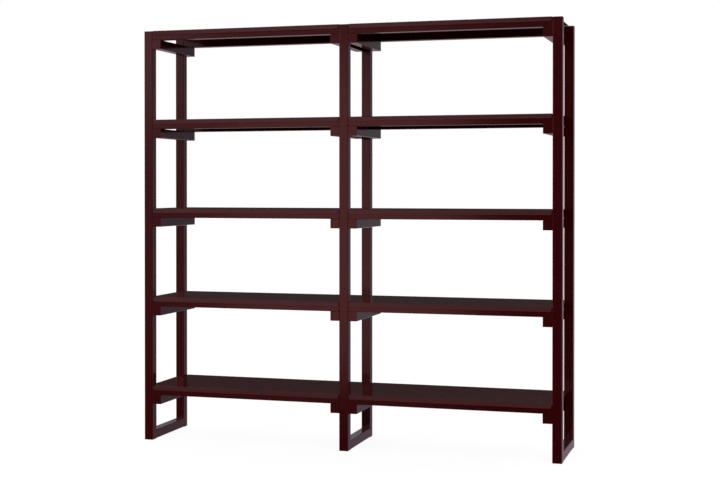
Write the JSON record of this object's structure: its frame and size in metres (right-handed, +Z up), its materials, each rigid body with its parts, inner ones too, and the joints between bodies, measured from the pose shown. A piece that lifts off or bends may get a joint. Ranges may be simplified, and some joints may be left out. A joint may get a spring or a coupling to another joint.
{
  "type": "open metal bookcase",
  "caption": "Two-bay open bookcase of dark red square steel tube with folded sheet shelves resting on side bars, open at the back and sides.",
  "frame": {"origin": "on the floor, under the middle of the bookcase's width and depth", "axes": "+X along the bays to the right as seen from the front, +Y from front to rear, +Z up"},
  "size_m": [1.85, 0.3878, 1.8132],
  "materials": {
    "frame_tube": "semi-gloss powder coat",
    "rail_tube": "semi-gloss powder coat",
    "shelf_sheet": "semi-gloss powder coat",
    "bar_tube": "semi-gloss powder coat",
    "cap_plate": "semi-gloss powder coat",
    "glide": "fine-grained moulded"
  },
  "bodies": {
    "root": {"centre_foot_rail": "frame_tube", "centre_front_post": "frame_tube", "centre_rear_post": "frame_tube", "centre_support_bars_1": "bar_tube", "centre_support_bars_2": "bar_tube", "centre_support_bars_3": "bar_tube", "centre_support_bars_4": "bar_tube", "centre_support_bars_5": "bar_tube", "floor_glides": "glide", "left_foot_rail": "frame_tube", "left_front_post": "frame_tube", "left_front_rail_1": "rail_tube", "left_front_rail_2": "rail_tube", "left_front_rail_3": "rail_tube", "left_front_rail_4": "rail_tube", "left_front_rail_5": "rail_tube", "left_rear_post": "frame_tube", "left_rear_rail_1": "rail_tube", "left_rear_rail_2": "rail_tube", "left_rear_rail_3": "rail_tube", "left_rear_rail_4": "rail_tube", "left_rear_rail_5": "rail_tube", "left_shelf_sheet_1": "shelf_sheet", "left_shelf_sheet_2": "shelf_sheet", "left_shelf_sheet_3": "shelf_sheet", "left_shelf_sheet_4": "shelf_sheet", "left_shelf_sheet_5": "shelf_sheet", "left_support_bar_1": "bar_tube", "left_support_bar_2": "bar_tube", "left_support_bar_3": "bar_tube", "left_support_bar_4": "bar_tube", "left_support_bar_5": "bar_tube", "post_caps": "cap_plate", "rail_end_caps": "cap_plate", "right_foot_rail": "frame_tube", "right_front_post": "frame_tube", "right_front_rail_1": "rail_tube", "right_front_rail_2": "rail_tube", "right_front_rail_3": "rail_tube", "right_front_rail_4": "rail_tube", "right_front_rail_5": "rail_tube", "right_rear_post": "frame_tube", "right_rear_rail_1": "rail_tube", "right_rear_rail_2": "rail_tube", "right_rear_rail_3": "rail_tube", "right_rear_rail_4": "rail_tube", "right_rear_rail_5": "rail_tube", "right_shelf_sheet_1": "shelf_sheet", "right_shelf_sheet_2": "shelf_sheet", "right_shelf_sheet_3": "shelf_sheet", "right_shelf_sheet_4": "shelf_sheet", "right_shelf_sheet_5": "shelf_sheet", "right_support_bar_1": "bar_tube", "right_support_bar_2": "bar_tube", "right_support_bar_3": "bar_tube", "right_support_bar_4": "bar_tube", "right_support_bar_5": "bar_tube"}
  },
  "joints": []
}
